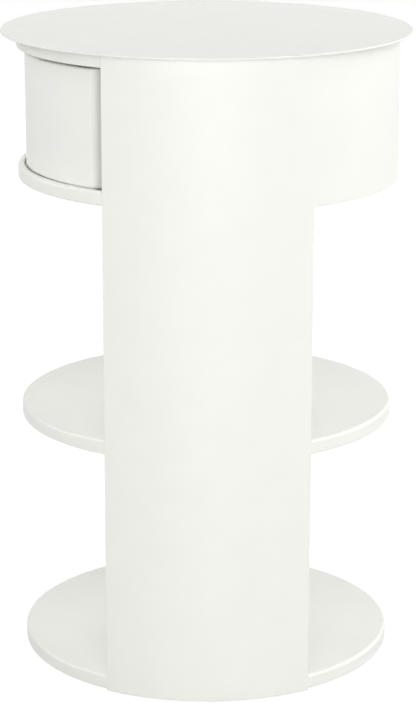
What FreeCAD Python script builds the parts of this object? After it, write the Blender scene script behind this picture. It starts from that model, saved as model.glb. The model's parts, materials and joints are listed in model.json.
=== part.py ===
import FreeCAD, Part
import math
import os

# Round end table of painted sheet steel: a thin round top over a drum with a curved
# sliding door, two round shelves, and one bent sheet that is the drum wall and both legs.
# Lengths are millimetres and angles are degrees. Z points up from the floor and runs
# through the middle of the table. The door opening faces -X, and the legs are on -Y and +Y.

# Heights of the whole table
table_height = 626.0
mid_shelf_height = 255.0
drum_height = 142.0
foot_gap = 1.0

# Round top
top_overhang = 11.8
top_thickness = 2.0
top_edge_round = 0.7

# Round pans: the one under the top, the drum floor and the two shelves
pan_radius = 185.0
pan_thickness = 1.5
pan_bend_radius = 3.0
pan_edge_round = 1.2
rim_height = 14.0
upper_rim_height = 13.6
upper_flange_width = 10.0
lip_width = 6.5
lip_bend_radius = 2.0

# Bent sheet that is the drum wall and both legs
sheet_thickness = 3.0
sheet_fit_gap = 0.2
leg_half_angle = 31.5
sheet_edge_round = 0.8
sheet_corner_radius = 1.6

# Curved sliding door
door_lip_gap = 1.5
door_depth = 16.0
door_thickness = 1.2
door_bend_radius = 2.0
door_end_bevel = 9.0
door_top_gap = 3.0
finger_gap_width = 11.0
door_hide_width = 3.28
hem_width = 8.0

# Panel that closes the back of the door
liner_thickness = 1.0
liner_gap = 0.1
liner_margin = 1.5

# Blind rivets that hold the liner and the guides to the hem of the door
door_rivet_radius = 1.6
door_rivet_head_radius = 3.2
door_rivet_head_height = 1.0
door_rivet_grip = 1.2
liner_rivet_columns = 4

# Steel rail on the drum floor, which keeps the foot of the door on its circle
rail_width = 3.0
rail_height = 1.2
rail_end_gap = 3.0

# Nylon pads that carry the door on the drum floor, with a groove over the rail
pad_thickness = 2.2
pad_width = 9.0
pad_length = 24.0
pad_running_gap = 0.2
pad_groove_gap = 0.4
pad_neck_radius = 2.4
pad_snap_radius = 3.2
pad_snap_height = 1.6
pad_snap_gap = 0.1
pad_place_shares = (-0.74, 0.0, 0.74)

# Nylon guides on the back of the door, each with a peg that runs in the track
guide_depth = 7.4
guide_length = 22.0
guide_height = 12.0
guide_rivet_pitch = 12.0
peg_radius = 3.0
peg_end_gap = 1.0
guide_place_shares = (-0.6, 0.6)

# Guide track under the upper pan
track_side_gap = 0.4
track_wall = 1.5
track_web = 2.0
track_height = 8.0
track_end_margin = 6.0
track_joint_gap = 0.3
track_section_count = 6
track_rivet_radius = 1.5
track_rivet_head_radius = 2.6
track_rivet_place_shares = (0.15, 0.85)
rivet_fit_gap = 0.1

# Stops for the open door, at the back of the drum
stop_bolt_radius = 2.5
stop_head_radius = 4.5
stop_head_height = 3.0
stop_sleeve_radius = 7.0
stop_sleeve_height = 30.0
stop_nut_flats = 8.0
stop_nut_height = 4.0
stop_clearance = 0.3

# Weld studs with washers and nuts
stud_radius = 2.0
stud_hole_gap = 0.25
stud_tip = 1.0
stud_chamfer = 0.4
thread_gap = 0.05
seat_gap = 0.05
washer_radius = 4.0
washer_thickness = 0.5
washer_room = 0.25
nut_flats = 7.0
nut_thickness = 3.2
leg_stud_share = 0.64
back_stud_share = 0.5
top_stud_ring_share = 0.7
top_stud_count = 4

# Nylon glides under the bottom shelf
glide_radius = 11.0
glide_edge_round = 1.5
glide_stud_length = 9.0
glide_bore_extra = 1.0
glide_ring_share = 0.82
glide_count = 4

# Length by which cutting shapes run past what they cut
overrun = 1.0

# Angles that place the pieces round the table, and the sides of a nut
full_turn = 360.0
half_turn = 180.0
leg_side = 90.0
nut_sides = 6
leg_centres = (leg_side, -leg_side)

# Heights and radii that follow from the sizes above
top_underside = table_height - top_thickness
upper_pan_ceiling = top_underside - pan_thickness
upper_rim_bottom = top_underside - upper_rim_height
drum_bottom = top_underside - drum_height
drum_floor_underside = drum_bottom + 2 * (washer_radius + washer_room)
drum_floor_top = drum_floor_underside + pan_thickness
drum_lip_top = drum_bottom + rim_height
mid_shelf_bottom = mid_shelf_height - rim_height
bottom_shelf_top = foot_gap + rim_height
bottom_shelf_ceiling = bottom_shelf_top - pan_thickness

pan_inside = pan_radius - pan_thickness
lip_inside = pan_radius - lip_width
sheet_inside = pan_radius + sheet_fit_gap
sheet_outside = sheet_inside + sheet_thickness
top_radius = sheet_outside + top_overhang
upper_flange_inside = pan_radius - upper_flange_width

door_outside = lip_inside - door_lip_gap
door_inside = door_outside - door_depth
door_middle = door_outside - door_depth / 2
door_bottom = drum_floor_top + pad_running_gap + pad_thickness
door_top = upper_rim_bottom - door_top_gap
liner_outside = door_inside - liner_gap
liner_inside = liner_outside - liner_thickness
guide_outside = liner_inside - seat_gap
guide_inside = guide_outside - guide_depth
guide_middle = guide_outside - guide_depth / 2

wall_half_angle = leg_side + leg_half_angle
opening_half_angle = half_turn - wall_half_angle
door_half_angle = opening_half_angle - math.degrees(finger_gap_width / door_outside)
door_travel = opening_half_angle + door_half_angle + math.degrees(door_hide_width / door_outside)
stop_half_width = math.degrees(math.asin((stop_sleeve_radius + stop_clearance) / door_middle))
stop_angle = half_turn - door_travel - door_half_angle - stop_half_width

rail_start = stop_angle + stop_half_width + math.degrees(rail_end_gap / door_middle)

track_inside = guide_middle - peg_radius - track_side_gap
track_outside = guide_middle + peg_radius + track_side_gap
track_bottom = upper_pan_ceiling - track_height
track_ceiling = upper_pan_ceiling - track_web
peg_reach = door_travel + door_half_angle * max(guide_place_shares)
track_start = half_turn - peg_reach - math.degrees((peg_radius + track_end_margin) / guide_middle)
track_section_pitch = (full_turn - 2 * track_start) / track_section_count

up = FreeCAD.Vector(0, 0, 1)
down = FreeCAD.Vector(0, 0, -1)
origin = FreeCAD.Vector(0, 0, 0)


def polar(radius, angle, height):
    """Point at a radius, an angle round the table and a height."""
    turn = math.radians(angle)
    return FreeCAD.Vector(radius * math.cos(turn), radius * math.sin(turn), height)


def arc_degrees(length, radius):
    """Angle that an arc of this length takes at this radius."""
    return math.degrees(length / radius)


def flat_seat(radius, half_width):
    """Distance from the axis at which a flat face of this half width meets a round wall."""
    return math.sqrt(radius ** 2 - half_width ** 2)


def sector(inner, outer, start, end, low, high):
    """Block between two radii, two angles and two heights."""
    middle = (start + end) / 2
    outer_arc = Part.Arc(polar(outer, start, low), polar(outer, middle, low), polar(outer, end, low))
    inner_arc = Part.Arc(polar(inner, end, low), polar(inner, middle, low), polar(inner, start, low))
    edges = [
        outer_arc.toShape(),
        Part.makeLine(polar(outer, end, low), polar(inner, end, low)),
        inner_arc.toShape(),
        Part.makeLine(polar(inner, start, low), polar(outer, start, low)),
    ]
    return Part.Face(Part.Wire(edges)).extrude(up * (high - low))


def rod(radius, base, direction, length):
    """Round bar from a base point along a direction."""
    return Part.makeCylinder(radius, length, base, direction)


def tube(outer, inner, base, direction, length):
    """Round bar with a bore right through it."""
    return rod(outer, base, direction, length).cut(rod(inner, base, direction, length))


def hex_nut(flats, bore, base, direction, side, length):
    """Six-sided nut with two corners on the side direction."""
    across = direction.cross(side)
    corner = flats / math.sqrt(3)
    corners = []
    for step in range(nut_sides + 1):
        turn = math.radians(step * full_turn / nut_sides)
        corners.append(base + side * (corner * math.cos(turn)) + across * (corner * math.sin(turn)))
    body = Part.Face(Part.makePolygon(corners)).extrude(direction * length)
    return body.cut(rod(bore, base, direction, length))


def stud(base, direction, length):
    """Weld stud whose free end is chamfered."""
    shank = rod(stud_radius, base, direction, length - stud_chamfer)
    tip_base = base + direction * (length - stud_chamfer)
    tip = Part.makeCone(stud_radius, stud_radius - stud_chamfer, stud_chamfer, tip_base, direction)
    return shank.fuse(tip).removeSplitter()


class Profile:
    """Outline of lines and bends in the plane of radius and height, spun round the axis."""

    def __init__(self, radius, height):
        self.here = FreeCAD.Vector(radius, 0, height)
        self.start = self.here
        self.edges = []

    def line(self, radius, height):
        point = FreeCAD.Vector(radius, 0, height)
        self.edges.append(Part.makeLine(self.here, point))
        self.here = point

    def bend(self, radius, height, centre_radius, centre_height):
        point = FreeCAD.Vector(radius, 0, height)
        centre = FreeCAD.Vector(centre_radius, 0, centre_height)
        size = (point - centre).Length
        middle = centre + ((self.here + point) / 2 - centre).normalize() * size
        self.edges.append(Part.Arc(self.here, middle, point).toShape())
        self.here = point

    def rim_edge(self, low):
        """Go down the outside of a pan's rim, round its lower edge and on to its inside."""
        self.line(pan_radius, low + pan_edge_round)
        foot = pan_radius - pan_edge_round
        self.bend(foot, low, foot, low + pan_edge_round)
        self.line(pan_inside, low)

    def spin(self, start=0.0, sweep=full_turn):
        self.edges.append(Part.makeLine(self.here, self.start))
        body = Part.Face(Part.Wire(self.edges)).revolve(origin, up, sweep)
        body.rotate(origin, up, start)
        return body


def spread(count, start=0.0):
    """Angles that share a full turn equally."""
    return [start + step * full_turn / count for step in range(count)]


def leg_stud_angles():
    """Two studs on each leg."""
    reach = leg_half_angle * leg_stud_share
    return [centre + side * reach for centre in leg_centres for side in (-1, 1)]


def drum_stud_angles():
    """The leg studs and two more at the back of the drum."""
    back = (leg_side - leg_half_angle) * back_stud_share
    return leg_stud_angles() + [-back, back]


# Height of the studs in each rim: the middle of its straight part under the plate
stud_levels = [
    ((upper_rim_bottom + top_underside - pan_bend_radius) / 2, drum_stud_angles()),
    ((drum_bottom + drum_floor_underside) / 2, drum_stud_angles()),
    ((mid_shelf_bottom + mid_shelf_height - pan_bend_radius) / 2, leg_stud_angles()),
    ((foot_gap + bottom_shelf_top - pan_bend_radius) / 2, leg_stud_angles()),
]


def rim_holes(level):
    """Cutters for the stud holes in the rim of one pan."""
    height, angles = stud_levels[level]
    length = pan_thickness + 2 * overrun
    return [
        rod(stud_radius + stud_hole_gap, polar(pan_inside - overrun, angle, height),
            polar(1, angle, 0), length)
        for angle in angles
    ]


def pan(low, high, inside=0):
    """Round pan with its plate on top and its rim turned down, or the ring of it outside a radius."""
    bend_low = high - pan_bend_radius
    bend_inside = pan_radius - pan_bend_radius
    outline = Profile(inside, high)
    outline.line(bend_inside, high)
    outline.bend(pan_radius, bend_low, bend_inside, bend_low)
    outline.rim_edge(low)
    outline.line(pan_inside, bend_low)
    outline.bend(bend_inside, high - pan_thickness, bend_inside, bend_low)
    outline.line(inside, high - pan_thickness)
    return outline.spin()


def upper_rim():
    """Rolled ring under the edge of the top, with a flange for the plate inside it."""
    return pan(upper_rim_bottom, top_underside, upper_flange_inside).cut(rim_holes(0))


def upper_plate():
    """Plate welded into the upper rim, with holes for the top's studs and the track's rivets."""
    body = rod(upper_flange_inside - seat_gap, origin + up * upper_pan_ceiling, up, pan_thickness)
    cutters = []
    for angle in spread(top_stud_count):
        base = polar(pan_radius * top_stud_ring_share, angle, upper_pan_ceiling - overrun)
        cutters.append(rod(stud_radius + stud_hole_gap, base, up, pan_thickness + 2 * overrun))
    for angle in track_rivet_angles():
        base = polar(guide_middle, angle, upper_pan_ceiling - overrun)
        cutters.append(rod(track_rivet_radius + rivet_fit_gap, base, up, pan_thickness + 2 * overrun))
    return body.cut(cutters)


def drum_rim():
    """Rolled ring round the drum floor, with a raised lip that hides the lower edge of the door."""
    bend_low = drum_lip_top - pan_bend_radius
    bend_inside = pan_radius - pan_bend_radius
    lip_low = drum_lip_top - lip_bend_radius
    lip_bend = lip_inside + lip_bend_radius
    outline = Profile(lip_inside, drum_floor_underside)
    outline.line(lip_inside, lip_low)
    outline.bend(lip_bend, drum_lip_top, lip_bend, lip_low)
    outline.line(bend_inside, drum_lip_top)
    outline.bend(pan_radius, bend_low, bend_inside, bend_low)
    outline.rim_edge(drum_bottom)
    outline.line(pan_inside, bend_low)
    outline.bend(bend_inside, drum_lip_top - pan_thickness, bend_inside, bend_low)
    outline.line(lip_bend, drum_lip_top - pan_thickness)
    outline.bend(lip_inside + pan_thickness, lip_low, lip_bend, lip_low)
    outline.line(lip_inside + pan_thickness, drum_floor_underside)
    return outline.spin().cut(rim_holes(1))


def drum_floor():
    """Plate welded into the drum rim, with holes for the two stop bolts."""
    body = rod(lip_inside - seat_gap, origin + up * drum_floor_underside, up, pan_thickness)
    cutters = []
    for angle in (-stop_angle, stop_angle):
        base = polar(door_middle, angle, drum_floor_underside - overrun)
        cutters.append(rod(stop_bolt_radius + stud_hole_gap, base, up, pan_thickness + 2 * overrun))
    return body.cut(cutters)


def mid_shelf():
    """Middle shelf pan."""
    return pan(mid_shelf_bottom, mid_shelf_height).cut(rim_holes(2))


def bottom_shelf():
    """Bottom shelf pan."""
    return pan(foot_gap, bottom_shelf_top).cut(rim_holes(3))


def top_disc():
    """Thin round top with a slightly rounded edge."""
    edge = top_radius - top_edge_round
    outline = Profile(0, table_height)
    outline.line(edge, table_height)
    outline.bend(top_radius, table_height - top_edge_round, edge, table_height - top_edge_round)
    outline.line(top_radius, top_underside + top_edge_round)
    outline.bend(edge, top_underside, edge, top_underside + top_edge_round)
    outline.line(0, top_underside)
    return outline.spin()


def near(value, target):
    """True where two sizes agree to well under the thinnest gap."""
    return abs(value - target) < seat_gap


def wrap_sheet():
    """One bent sheet: the drum wall at the back, and a leg down each side."""
    body = sector(sheet_inside, sheet_outside, -wall_half_angle, wall_half_angle,
                  drum_bottom, top_underside)
    for centre in leg_centres:
        leg = sector(sheet_inside, sheet_outside, centre - leg_half_angle, centre + leg_half_angle,
                     foot_gap, drum_bottom)
        body = body.fuse(leg)
    body = body.removeSplitter()
    corners = []
    for edge in body.Edges:
        centre = edge.BoundBox.Center
        radial = near(edge.Length, sheet_thickness)
        at_back = near(abs(math.degrees(math.atan2(centre.y, centre.x))), leg_side - leg_half_angle)
        if radial and at_back and near(centre.z, drum_bottom):
            corners.append(edge)
    body = body.makeFillet(sheet_corner_radius, corners)
    outline_edges = []
    for edge in body.Edges:
        on_face = all(near(math.hypot(v.X, v.Y), sheet_outside) for v in edge.Vertexes)
        if on_face and edge.BoundBox.Center.z < top_underside - seat_gap:
            outline_edges.append(edge)
    return body.makeFillet(sheet_edge_round, outline_edges)


def place_round_door(shares):
    """Angles on the door, as shares of half its width either side of its middle."""
    return [half_turn + share * door_half_angle for share in shares]


def bevel_ends(body, radius, half_angle, bevel):
    """Bevel the upright outer edge at each end of a curved block, which ends at this half angle."""
    corners = [polar(radius, half_turn + side * half_angle, 0) for side in (-1, 1)]
    upright = []
    for edge in body.Edges:
        for corner in corners:
            if all(near(v.X, corner.x) and near(v.Y, corner.y) for v in edge.Vertexes):
                upright.append(edge)
    return body.makeChamfer(bevel, upright)


def door_skin():
    """Folded door: curved face, bevelled ends for the fingertips, and a hem for the liner."""
    start = half_turn - door_half_angle
    end = half_turn + door_half_angle
    wall = arc_degrees(door_thickness, door_inside)
    hem = arc_degrees(hem_width, door_inside)
    body = sector(door_inside, door_outside, start, end, door_bottom, door_top)
    body = bevel_ends(body, door_outside, door_half_angle, door_end_bevel)
    bevel_foot = door_outside - door_end_bevel
    front_edges = []
    for edge in body.Edges:
        if all(math.hypot(v.X, v.Y) > bevel_foot - seat_gap for v in edge.Vertexes):
            front_edges.append(edge)
    body = body.makeFillet(door_bend_radius, front_edges)
    hollow = sector(door_inside + door_thickness, door_outside - door_thickness,
                    start + wall, end - wall, door_bottom + door_thickness, door_top - door_thickness)
    hollow_bevel = door_end_bevel - door_thickness * (2 - math.sqrt(2))
    hollow = bevel_ends(hollow, door_outside - door_thickness, door_half_angle - wall, hollow_bevel)
    window = sector(door_inside - overrun, door_middle, start + hem, end - hem,
                    door_bottom + hem_width, door_top - hem_width)
    cutters = [hollow, window] + rivet_holes(door_inside, door_thickness)
    for angle in place_round_door(pad_place_shares):
        base = polar(door_middle, angle, door_bottom - overrun)
        cutters.append(rod(pad_neck_radius + pad_snap_gap, base, up, door_thickness + 2 * overrun))
    return body.cut(cutters)


def liner_rivet_places():
    """Angle and height of each liner rivet, along the middle of the upper and lower hems."""
    reach = door_half_angle - arc_degrees(hem_width, door_inside) / 2
    places = []
    for height in (door_bottom + hem_width / 2, door_top - hem_width / 2):
        for column in range(liner_rivet_columns):
            share = 2 * column / (liner_rivet_columns - 1) - 1
            places.append((half_turn + share * reach, height))
    return places


def guide_rivet_places():
    """Angle and height of the two rivets of each guide, in the upper hem."""
    reach = arc_degrees(guide_rivet_pitch, door_inside) / 2
    return [
        (middle + side * reach, door_top - hem_width / 2)
        for middle in place_round_door(guide_place_shares)
        for side in (-1, 1)
    ]


def rivet_holes(inner, thickness):
    """Cutters for every rivet hole through a curved wall that starts at this radius."""
    return [
        rod(door_rivet_radius + rivet_fit_gap, polar(inner - overrun, angle, height),
            polar(1, angle, 0), thickness + 2 * overrun)
        for angle, height in liner_rivet_places() + guide_rivet_places()
    ]


def door_rivet(angle, height, inner):
    """Blind rivet with its head on the wall face at this radius, through to behind the hem."""
    outward = polar(1, angle, 0)
    head_seat = flat_seat(inner, door_rivet_head_radius) - seat_gap
    tail = door_inside + door_thickness + door_rivet_grip
    head = Part.makeCone(door_rivet_head_radius / 2, door_rivet_head_radius, door_rivet_head_height,
                         polar(head_seat - door_rivet_head_height, angle, height), outward)
    shank = rod(door_rivet_radius, polar(head_seat, angle, height), outward, tail - head_seat)
    return head.fuse(shank).removeSplitter()


def door_liner():
    """Curved panel riveted over the back of the door."""
    half = door_half_angle - arc_degrees(liner_margin, door_inside)
    body = sector(liner_inside, liner_outside, half_turn - half, half_turn + half,
                  door_bottom + liner_margin, door_top - liner_margin)
    return body.cut(rivet_holes(liner_inside, liner_thickness))


def floor_rail():
    """Flat steel rail, bent to an arc that ends short of the stops."""
    return sector(door_middle - rail_width / 2, door_middle + rail_width / 2,
                  rail_start, full_turn - rail_start, drum_floor_top, drum_floor_top + rail_height)


def door_pads():
    """Nylon pads snapped into the lower edge of the door, each grooved to sit over the rail."""
    half = arc_degrees(pad_length, door_middle) / 2
    groove_half = rail_width / 2 + pad_groove_gap
    pads = []
    for angle in place_round_door(pad_place_shares):
        sole = sector(door_middle - pad_width / 2, door_middle + pad_width / 2,
                      angle - half, angle + half, door_bottom - pad_thickness, door_bottom)
        groove = sector(door_middle - groove_half, door_middle + groove_half,
                        angle - half * 2, angle + half * 2,
                        drum_floor_top, drum_floor_top + rail_height + pad_running_gap)
        neck = rod(pad_neck_radius, polar(door_middle, angle, door_bottom), up, door_thickness)
        snap = rod(pad_snap_radius, polar(door_middle, angle, door_bottom + door_thickness), up,
                   pad_snap_height)
        pads.append(sole.cut(groove).fuse([neck, snap]).removeSplitter())
    return pads


def door_guides():
    """Nylon blocks riveted to the back of the door, with a peg on top that runs in the track."""
    half = arc_degrees(guide_length, guide_middle) / 2
    holes = rivet_holes(guide_inside, guide_depth)
    guides = []
    for angle in place_round_door(guide_place_shares):
        block = sector(guide_inside, guide_outside, angle - half, angle + half,
                       door_top - guide_height, door_top)
        peg = rod(peg_radius, polar(guide_middle, angle, door_top), up,
                  track_ceiling - peg_end_gap - door_top)
        guides.append(block.fuse(peg).removeSplitter().cut(holes))
    return guides


def track_section_starts():
    """Angle at which each section of the track starts, from one end of the track to the other."""
    return [track_start + section * track_section_pitch for section in range(track_section_count)]


def track_rivet_angles():
    """Two rivets near the ends of each section of the track."""
    return [
        start + share * track_section_pitch
        for start in track_section_starts()
        for share in track_rivet_place_shares
    ]


def track_rivet_cone(gap):
    """Size of the sunk head of a track rivet, or of its seat when a gap is added."""
    small = track_rivet_radius + gap
    large = track_rivet_head_radius + gap
    return small, large, large - small


def guide_track():
    """Sections of a channel, open downwards, in which the pegs of the door run."""
    cutters = []
    small, large, depth = track_rivet_cone(rivet_fit_gap)
    for angle in track_rivet_angles():
        base = polar(guide_middle, angle, track_ceiling)
        cutters.append(Part.makeCone(large, small, depth, base, up))
        cutters.append(rod(small, base, up, track_web + overrun))
    joint = arc_degrees(track_joint_gap, guide_middle)
    sections = []
    for start in track_section_starts():
        outline = Profile(track_inside - track_wall, upper_pan_ceiling)
        outline.line(track_outside + track_wall, upper_pan_ceiling)
        outline.line(track_outside + track_wall, track_bottom)
        outline.line(track_outside, track_bottom)
        outline.line(track_outside, track_ceiling)
        outline.line(track_inside, track_ceiling)
        outline.line(track_inside, track_bottom)
        outline.line(track_inside - track_wall, track_bottom)
        sections.append(outline.spin(start + joint / 2, track_section_pitch - joint).cut(cutters))
    return sections


def track_rivets():
    """Sunk rivets that hold the guide track to the upper pan."""
    small, large, depth = track_rivet_cone(0)
    rivets = []
    for angle in track_rivet_angles():
        base = polar(guide_middle, angle, track_ceiling)
        head = Part.makeCone(large, small, depth, base, up)
        shank = rod(small, base + up * depth, up, top_underside - seat_gap - track_ceiling - depth)
        rivets.append(head.fuse(shank).removeSplitter())
    return rivets


def stop_pieces():
    """Bolts, rubber sleeves and nuts of the two door stops."""
    bolts = []
    sleeves = []
    nuts = []
    length = stop_sleeve_height + pan_thickness + stop_nut_height + stud_tip
    bore = stop_bolt_radius + thread_gap
    for angle in (-stop_angle, stop_angle):
        foot = polar(door_middle, angle, drum_floor_top)
        crown = foot + up * stop_sleeve_height
        head = rod(stop_head_radius, crown, up, stop_head_height)
        bolts.append(head.fuse(rod(stop_bolt_radius, crown, down, length)).removeSplitter())
        sleeves.append(tube(stop_sleeve_radius, bore, foot, up, stop_sleeve_height))
        nuts.append(hex_nut(stop_nut_flats, bore, foot + down * pan_thickness, down,
                            FreeCAD.Vector(1, 0, 0), stop_nut_height))
    return bolts, sleeves, nuts


def wall_fasteners():
    """Studs on the inside of the bent sheet, with the washers and nuts inside the rims."""
    studs = []
    washers = []
    nuts = []
    stud_base = flat_seat(sheet_inside, stud_radius) - seat_gap
    washer_seat = flat_seat(pan_inside, washer_radius) - seat_gap
    nut_seat = washer_seat - washer_thickness
    tip = nut_seat - nut_thickness - stud_tip
    bore = stud_radius + thread_gap
    for height, angles in stud_levels:
        for angle in angles:
            inward = polar(-1, angle, 0)
            side = inward.cross(up)
            studs.append(stud(polar(stud_base, angle, height), inward, stud_base - tip))
            washers.append(tube(washer_radius, bore, polar(washer_seat, angle, height), inward,
                                washer_thickness))
            nuts.append(hex_nut(nut_flats, bore, polar(nut_seat, angle, height), inward, side,
                                nut_thickness))
    return studs, washers, nuts


def top_fasteners():
    """Studs under the top, with the washers and nuts under the upper pan."""
    studs = []
    washers = []
    nuts = []
    bore = stud_radius + thread_gap
    length = pan_thickness + washer_thickness + nut_thickness + stud_tip
    for angle in spread(top_stud_count):
        base = polar(pan_radius * top_stud_ring_share, angle, top_underside)
        washer_base = base + down * pan_thickness
        nut_base = washer_base + down * washer_thickness
        studs.append(stud(base, down, length))
        washers.append(tube(washer_radius, bore, washer_base, down, washer_thickness))
        nuts.append(hex_nut(nut_flats, bore, nut_base, down, polar(1, angle, 0), nut_thickness))
    return studs, washers, nuts


def glide_pieces():
    """Studs under the bottom shelf, and the nylon glides pushed onto them."""
    studs = []
    glides = []
    edge = glide_radius - glide_edge_round
    bore = stud_radius + thread_gap
    for angle in spread(glide_count, full_turn / glide_count / 2):
        seat = polar(pan_radius * glide_ring_share, angle, bottom_shelf_ceiling)
        foot = polar(pan_radius * glide_ring_share, angle, 0)
        outline = Profile(0, 0)
        outline.line(edge, 0)
        outline.bend(glide_radius, glide_edge_round, edge, glide_edge_round)
        outline.line(glide_radius, bottom_shelf_ceiling)
        outline.line(0, bottom_shelf_ceiling)
        body = outline.spin()
        body.translate(foot)
        glides.append(body.cut(rod(bore, seat, down, glide_stud_length + glide_bore_extra)))
        studs.append(stud(seat, down, glide_stud_length))
    return studs, glides


def save(name, shapes):
    """Write one sub-part, which is one solid or a group of separate solids."""
    solids = []
    for shape in shapes:
        solids.extend(shape.Solids)
    group = solids[0] if len(solids) == 1 else Part.makeCompound(solids)
    sound = all(solid.isValid() for solid in solids)
    volume = sum(solid.Volume for solid in solids)
    print(f"{name}: {len(solids)} solid(s), {volume:.0f} cubic mm, {'sound' if sound else 'FAULTY'}")
    group.exportStep(f"parts/{name}.step")


os.makedirs("parts", exist_ok=True)

save("top_disc", [top_disc()])
save("upper_plate", [upper_plate()])
save("upper_rim", [upper_rim()])
save("wrap_sheet", [wrap_sheet()])
save("drum_floor", [drum_floor()])
save("drum_rim", [drum_rim()])
save("mid_shelf", [mid_shelf()])
save("bottom_shelf", [bottom_shelf()])

save("door_skin", [door_skin()])
save("door_liner", [door_liner()])
save("liner_rivets", [door_rivet(*place, liner_inside) for place in liner_rivet_places()])
save("door_pads", door_pads())
save("door_guides", door_guides())
save("guide_rivets", [door_rivet(*place, guide_inside) for place in guide_rivet_places()])

save("floor_rail", [floor_rail()])
save("guide_track", guide_track())
save("track_rivets", track_rivets())

stop_bolts, stop_sleeves, stop_nuts = stop_pieces()
save("stop_bolts", stop_bolts)
save("stop_sleeves", stop_sleeves)
save("stop_nuts", stop_nuts)

wall_studs, wall_washers, wall_nuts = wall_fasteners()
save("wall_studs", wall_studs)
save("wall_washers", wall_washers)
save("wall_nuts", wall_nuts)

top_studs, top_washers, top_nuts = top_fasteners()
save("top_studs", top_studs)
save("top_washers", top_washers)
save("top_nuts", top_nuts)

glide_studs, floor_glides = glide_pieces()
save("glide_studs", glide_studs)
save("floor_glides", floor_glides)

print(f"door turns {door_travel:.3f} degrees each way, half width {door_half_angle:.3f} degrees")
print(f"door stops at {stop_angle:.3f} degrees either side of the back")
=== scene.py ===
import json
import math

import bmesh
import bpy
from mathutils import Euler, Matrix, Vector


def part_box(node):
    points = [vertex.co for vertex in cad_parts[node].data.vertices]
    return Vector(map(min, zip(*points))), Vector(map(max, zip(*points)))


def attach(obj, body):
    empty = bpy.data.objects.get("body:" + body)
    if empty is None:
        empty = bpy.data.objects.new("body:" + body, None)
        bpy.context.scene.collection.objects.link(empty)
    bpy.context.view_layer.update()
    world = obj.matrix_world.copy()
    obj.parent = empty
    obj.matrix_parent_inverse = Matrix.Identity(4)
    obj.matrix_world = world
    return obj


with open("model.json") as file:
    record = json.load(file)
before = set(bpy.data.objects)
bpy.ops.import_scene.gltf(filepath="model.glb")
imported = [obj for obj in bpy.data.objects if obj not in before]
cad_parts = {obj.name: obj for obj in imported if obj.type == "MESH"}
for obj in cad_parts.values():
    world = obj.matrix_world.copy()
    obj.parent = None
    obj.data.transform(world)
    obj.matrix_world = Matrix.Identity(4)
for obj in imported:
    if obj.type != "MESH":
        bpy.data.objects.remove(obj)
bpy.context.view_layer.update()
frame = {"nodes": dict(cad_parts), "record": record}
nodes = frame["nodes"]

# Camera, fitted to the outline of the object in a picture of 416 by 703 pixels
picture_height = 703
focal_pixels = 2460.8
sensor_width = 36.0
camera_azimuth = math.radians(-0.536)
camera_pitch = math.radians(15.48)
camera_roll = math.radians(0.072)
camera_distance = 2.3854
camera_height = 0.9599
axis_offset_pixels = 1.68

# Warm white of the powder coat, and the tones of the small parts
coat_color = (0.862, 0.870, 0.822)
zinc_color = (0.62, 0.63, 0.62)
rivet_color = (0.72, 0.72, 0.72)
nylon_color = (0.80, 0.80, 0.74)
rubber_color = (0.022, 0.022, 0.022)

# Depths of the relief of each surface, in metres, and the light that goes into nylon
sheet_wave_depth = 0.00030
orange_peel_depth = 0.000012
powder_grain_depth = 0.000002
zinc_relief_depth = 0.000006
rivet_relief_depth = 0.000008
nylon_relief_depth = 0.00001
rubber_relief_depth = 0.00002
nylon_glow_share = 0.15
nylon_glow_depth = 0.0015

# Range that nearly all of a noise lies in
noise_low = 0.3
noise_high = 0.7

# Stitches of weld along a seam, in metres, with the ripples that the moving puddle left
full_turn = 2 * math.pi
weld_stitches = 12
weld_length = 0.022
weld_width = 0.0032
weld_depth = 0.0009
weld_ripple = 0.0011
weld_ripple_steps = 6
weld_ripple_share = 0.14
weld_end_share = 0.05
weld_sides = 8

# Light of the studio, where 1 is white, and its floor in metres
white = (1.0, 1.0, 1.0)
horizon_level = 0.64
zenith_level = 0.28
backdrop_level = 1.0
floor_color = (0.38, 0.38, 0.376)
floor_seen_share = 0.50
floor_glow = 0.91
floor_radius = 6.0
floor_corners = 96

# Soft square lamps, all aimed at the object: degrees round it from the viewer's side, height in
# metres and power in watts
lamps = {
    "front": (0, 0.7, 61),
    "left": (-110, 1.9, 40),
    "right": (110, 1.9, 59),
    "right_low": (75, 0.9, 10),
    "back": (180, 0.7, 8.5),
}
lamp_distance = 3.0
lamp_width = 2.0
lamp_aim_height = 0.3


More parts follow.
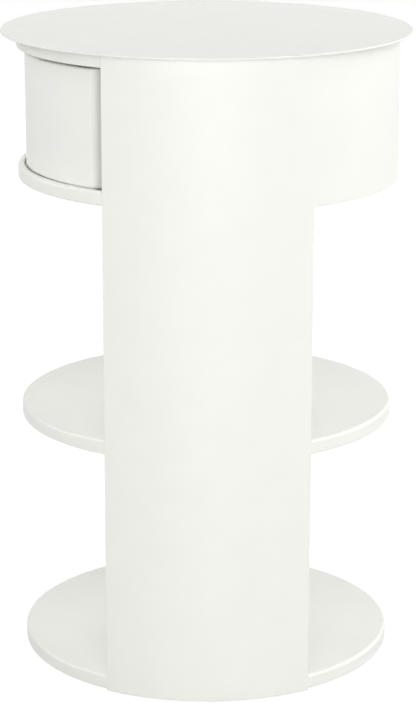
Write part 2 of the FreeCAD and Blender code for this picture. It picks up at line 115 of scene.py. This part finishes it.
class Look:
    """A node material in the making, with short ways to add and join nodes.

    Its plain colour and roughness stay on the shader under the textures that are joined to it.
    """

    def __init__(self, name, color, roughness, metallic=0.0):
        self.material = bpy.data.materials.new(name)
        self.material.use_nodes = True
        self.tree = self.material.node_tree
        self.shader = self.tree.nodes["Principled BSDF"]
        self.shader.inputs["Base Color"].default_value = (*color, 1.0)
        self.shader.inputs["Roughness"].default_value = roughness
        self.shader.inputs["Metallic"].default_value = metallic
        self.color = color
        self.place = self.node("ShaderNodeTexCoord").outputs["Object"]

    def node(self, kind, **values):
        made = self.tree.nodes.new(kind)
        for name, value in values.items():
            setattr(made, name, value)
        return made

    def join(self, output, socket):
        self.tree.links.new(output, socket)

    def noise(self, grain, detail):
        """Noise whose grain has this size in metres, with this many finer layers over it."""
        texture = self.node("ShaderNodeTexNoise")
        texture.inputs["Scale"].default_value = 1.0 / grain
        texture.inputs["Detail"].default_value = detail
        self.join(self.place, texture.inputs["Vector"])
        return texture.outputs["Fac"]

    def cells(self, grain):
        """Distance to the nearest of many scattered points this far apart, in metres."""
        texture = self.node("ShaderNodeTexVoronoi")
        texture.inputs["Scale"].default_value = 1.0 / grain
        self.join(self.place, texture.inputs["Vector"])
        return texture.outputs["Distance"]

    def spread(self, value, low, high):
        """Map the middle of a noise to the range from low to high."""
        ramp = self.node("ShaderNodeMapRange")
        ramp.inputs["From Min"].default_value = noise_low
        ramp.inputs["From Max"].default_value = noise_high
        ramp.inputs["To Min"].default_value = low
        ramp.inputs["To Max"].default_value = high
        self.join(value, ramp.inputs["Value"])
        return ramp.outputs["Result"]

    def tones(self, value, low, high):
        """Let the base colour run between two shares of itself."""
        mix = self.node("ShaderNodeMix", data_type="RGBA")
        mix.inputs["A"].default_value = (*[c * low for c in self.color], 1.0)
        mix.inputs["B"].default_value = (*[c * high for c in self.color], 1.0)
        self.join(self.spread(value, 0.0, 1.0), mix.inputs["Factor"])
        self.join(mix.outputs["Result"], self.shader.inputs["Base Color"])

    def roughness(self, value, low, high):
        self.join(self.spread(value, low, high), self.shader.inputs["Roughness"])

    def relief(self, heights):
        """Bumps in turn, each a texture with its depth in metres."""
        normal = None
        for value, depth in heights:
            bump = self.node("ShaderNodeBump")
            bump.inputs["Distance"].default_value = depth
            self.join(value, bump.inputs["Height"])
            if normal is not None:
                self.join(normal, bump.inputs["Normal"])
            normal = bump.outputs["Normal"]
        self.join(normal, self.shader.inputs["Normal"])


def powder_coat():
    """Satin powder coat: orange peel over a sheet that isn't quite flat."""
    look = Look("powder_coat", coat_color, roughness=0.48)
    look.tones(look.noise(grain=0.035, detail=3.0), low=0.992, high=1.008)
    look.roughness(look.noise(grain=0.012, detail=3.0), low=0.44, high=0.52)
    look.relief([
        (look.noise(grain=0.16, detail=1.0), sheet_wave_depth),
        (look.noise(grain=0.0022, detail=1.0), orange_peel_depth),
        (look.cells(grain=0.0006), powder_grain_depth),
    ])
    return look.material


def zinc_plate():
    """Bright zinc on turned steel, with the mottled bloom of the plating bath."""
    look = Look("zinc_plate", zinc_color, roughness=0.32, metallic=1.0)
    look.tones(look.noise(grain=0.004, detail=4.0), low=0.86, high=1.10)
    look.roughness(look.noise(grain=0.0015, detail=3.0), low=0.24, high=0.42)
    look.relief([(look.noise(grain=0.0004, detail=2.0), zinc_relief_depth)])
    return look.material


def rivet_aluminium():
    """Plain aluminium, dulled by setting."""
    look = Look("rivet_aluminium", rivet_color, roughness=0.38, metallic=1.0)
    look.tones(look.noise(grain=0.0015, detail=3.0), low=0.90, high=1.06)
    look.roughness(look.noise(grain=0.0008, detail=3.0), low=0.30, high=0.50)
    look.relief([(look.noise(grain=0.0005, detail=2.0), rivet_relief_depth)])
    return look.material


def moulded_nylon():
    """Natural nylon: a little light goes into it, and its skin has the grain of the mould."""
    look = Look("moulded_nylon", nylon_color, roughness=0.48)
    look.shader.inputs["Subsurface Weight"].default_value = nylon_glow_share
    look.shader.inputs["Subsurface Scale"].default_value = nylon_glow_depth
    look.tones(look.noise(grain=0.006, detail=3.0), low=0.97, high=1.02)
    look.roughness(look.noise(grain=0.003, detail=2.0), low=0.42, high=0.56)
    look.relief([(look.cells(grain=0.0005), nylon_relief_depth)])
    return look.material


def black_rubber():
    """Matt moulded rubber with a dusty bloom."""
    look = Look("black_rubber", rubber_color, roughness=0.78)
    look.tones(look.noise(grain=0.003, detail=4.0), low=0.75, high=1.6)
    look.roughness(look.noise(grain=0.002, detail=3.0), low=0.68, high=0.88)
    look.relief([(look.noise(grain=0.0004, detail=3.0), rubber_relief_depth)])
    return look.material


def dress(material, names):
    """Give CAD nodes a material in their own slots."""
    for name in names:
        part = nodes[name]
        if not part.material_slots:
            part.data.materials.append(material)
        for slot in part.material_slots:
            slot.material = material


def dress_nodes():
    """Give every CAD node the material of its slot, and give back the materials by slot."""
    makers = {
        "painted_steel": powder_coat,
        "plated_steel": zinc_plate,
        "rivet_metal": rivet_aluminium,
        "nylon": moulded_nylon,
        "rubber": black_rubber,
    }
    slot_nodes = {}
    for subpart in frame["record"]["subparts"]:
        slot_nodes.setdefault(subpart["material_slot"], []).append(subpart["node"])
    made = {slot: makers[slot]() for slot in slot_nodes}
    for slot, names in slot_nodes.items():
        dress(made[slot], names)
    return made


def weld_seam(name, material, radius, height):
    """Stitches of weld under a round seam between two plates, rippled as the puddle moved on."""
    shape = bmesh.new()
    steps = round(weld_length / weld_ripple * weld_ripple_steps)
    for stitch in range(weld_stitches):
        middle = full_turn * stitch / weld_stitches
        rings = []
        for step in range(steps + 1):
            along = 2 * step / steps - 1
            turn = middle + along * weld_length / 2 / radius
            swell = math.sqrt(max(1 - along ** 2, weld_end_share))
            ripple = 1 + weld_ripple_share * math.cos(full_turn * step / weld_ripple_steps)
            ring = []
            for corner in range(weld_sides + 1):
                lean = math.pi * corner / weld_sides
                out = radius + weld_width / 2 * swell * math.cos(lean)
                low = height - weld_depth * swell * ripple * math.sin(lean)
                ring.append(shape.verts.new((out * math.cos(turn), out * math.sin(turn), low)))
            rings.append(ring)
        for here, there in zip(rings, rings[1:]):
            for corner in range(-1, weld_sides):
                shape.faces.new((here[corner], here[corner + 1], there[corner + 1], there[corner]))
        shape.faces.new(rings[0])
        shape.faces.new(rings[-1])
    bmesh.ops.recalc_face_normals(shape, faces=shape.faces)
    mesh = bpy.data.meshes.new(name)
    shape.to_mesh(mesh)
    shape.free()
    mesh.shade_smooth()
    mesh.materials.append(material)
    seam = bpy.data.objects.new(name, mesh)
    bpy.context.scene.collection.objects.link(seam)
    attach(seam, "frame")


def add_welds(material):
    """Seams of the two plates that are welded into their rolled rings."""
    low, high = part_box("drum_floor")
    weld_seam("drum_weld", material, high[0], low[2])
    low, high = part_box("upper_plate")
    weld_seam("upper_weld", material, high[0], low[2])


def joined(tree, output, socket):
    tree.links.new(output, socket)


def seen_share(tree):
    """1 for what the camera sees, also mirrored or through glass, and 0 for scattered light."""
    path = tree.nodes.new("ShaderNodeLightPath")
    share = path.outputs["Is Camera Ray"]
    for other in ("Is Glossy Ray", "Is Transmission Ray"):
        either = tree.nodes.new("ShaderNodeMath")
        either.operation = "MAXIMUM"
        joined(tree, share, either.inputs[0])
        joined(tree, path.outputs[other], either.inputs[1])
        share = either.outputs["Value"]
    return share


def make_world():
    """Soft light all round, a little stronger near the horizon, with a white backdrop behind."""
    world = bpy.data.worlds.new("studio")
    bpy.context.scene.world = world
    world.use_nodes = True
    tree = world.node_tree
    light = tree.nodes["Background"]
    light.inputs["Color"].default_value = (*white, 1.0)
    direction = tree.nodes.new("ShaderNodeTexCoord").outputs["Generated"]
    upward = tree.nodes.new("ShaderNodeSeparateXYZ")
    joined(tree, direction, upward.inputs["Vector"])
    level = tree.nodes.new("ShaderNodeMapRange")
    level.inputs["To Min"].default_value = horizon_level
    level.inputs["To Max"].default_value = zenith_level
    joined(tree, upward.outputs["Z"], level.inputs["Value"])
    joined(tree, level.outputs["Result"], light.inputs["Strength"])
    backdrop = tree.nodes.new("ShaderNodeBackground")
    backdrop.inputs["Color"].default_value = (*white, 1.0)
    backdrop.inputs["Strength"].default_value = backdrop_level
    mix = tree.nodes.new("ShaderNodeMixShader")
    joined(tree, seen_share(tree), mix.inputs["Fac"])
    joined(tree, light.outputs["Background"], mix.inputs[1])
    joined(tree, backdrop.outputs["Background"], mix.inputs[2])
    joined(tree, mix.outputs["Shader"], tree.nodes["World Output"].inputs["Surface"])


def make_floor():
    """Pale floor, white where the light falls on it, that keeps the shadow of the object."""
    bpy.ops.mesh.primitive_circle_add(vertices=floor_corners, radius=floor_radius,
                                      fill_type="NGON")
    floor = bpy.context.object
    floor.name = "studio_floor"
    material = bpy.data.materials.new("studio_floor")
    material.use_nodes = True
    tree = material.node_tree
    tree.nodes.remove(tree.nodes["Principled BSDF"])
    matt = tree.nodes.new("ShaderNodeBsdfDiffuse")
    seen = seen_share(tree)
    mix = tree.nodes.new("ShaderNodeMix")
    mix.data_type = "RGBA"
    mix.inputs["A"].default_value = (*floor_color, 1.0)
    mix.inputs["B"].default_value = (*[c * floor_seen_share for c in floor_color], 1.0)
    joined(tree, seen, mix.inputs["Factor"])
    joined(tree, mix.outputs["Result"], matt.inputs["Color"])
    glow = tree.nodes.new("ShaderNodeEmission")
    strength = tree.nodes.new("ShaderNodeMath")
    strength.operation = "MULTIPLY"
    strength.inputs[1].default_value = floor_glow
    joined(tree, seen, strength.inputs[0])
    joined(tree, strength.outputs["Value"], glow.inputs["Strength"])
    both = tree.nodes.new("ShaderNodeAddShader")
    joined(tree, matt.outputs["BSDF"], both.inputs[0])
    joined(tree, glow.outputs["Emission"], both.inputs[1])
    joined(tree, both.outputs["Shader"], tree.nodes["Material Output"].inputs["Surface"])
    floor.data.materials.append(material)


def soft_box(name, azimuth, height, power):
    """Large soft lamp at an azimuth from the viewer's side, aimed at the object."""
    light = bpy.data.lights.new(name, "AREA")
    light.shape = "RECTANGLE"
    light.size = lamp_width
    light.size_y = lamp_width
    light.energy = power
    lamp = bpy.data.objects.new(name, light)
    turn = math.radians(azimuth)
    lamp.location = (lamp_distance * math.sin(turn), -lamp_distance * math.cos(turn), height)
    toward = Vector((0, 0, lamp_aim_height)) - lamp.location
    lamp.rotation_euler = toward.to_track_quat("-Z", "Y").to_euler()
    bpy.context.scene.collection.objects.link(lamp)


def make_camera():
    """Camera of the picture, on a circle round the object and turned a little to stand level."""
    data = bpy.data.cameras.new("camera")
    data.sensor_width = sensor_width
    data.lens = focal_pixels * sensor_width / picture_height
    data.shift_x = axis_offset_pixels / picture_height
    camera = bpy.data.objects.new("camera", data)
    camera.location = (camera_distance * math.sin(camera_azimuth),
                       -camera_distance * math.cos(camera_azimuth), camera_height)
    level = Euler((math.pi / 2 - camera_pitch, 0, camera_azimuth)).to_matrix()
    camera.rotation_euler = (level @ Matrix.Rotation(camera_roll, 3, "Z")).to_euler()
    bpy.context.scene.collection.objects.link(camera)
    bpy.context.scene.camera = camera


make_camera()
materials = dress_nodes()
add_welds(materials["painted_steel"])
make_world()
make_floor()
for name, setting in lamps.items():
    soft_box(name, *setting)

bpy.context.scene.view_settings.view_transform = "Standard"
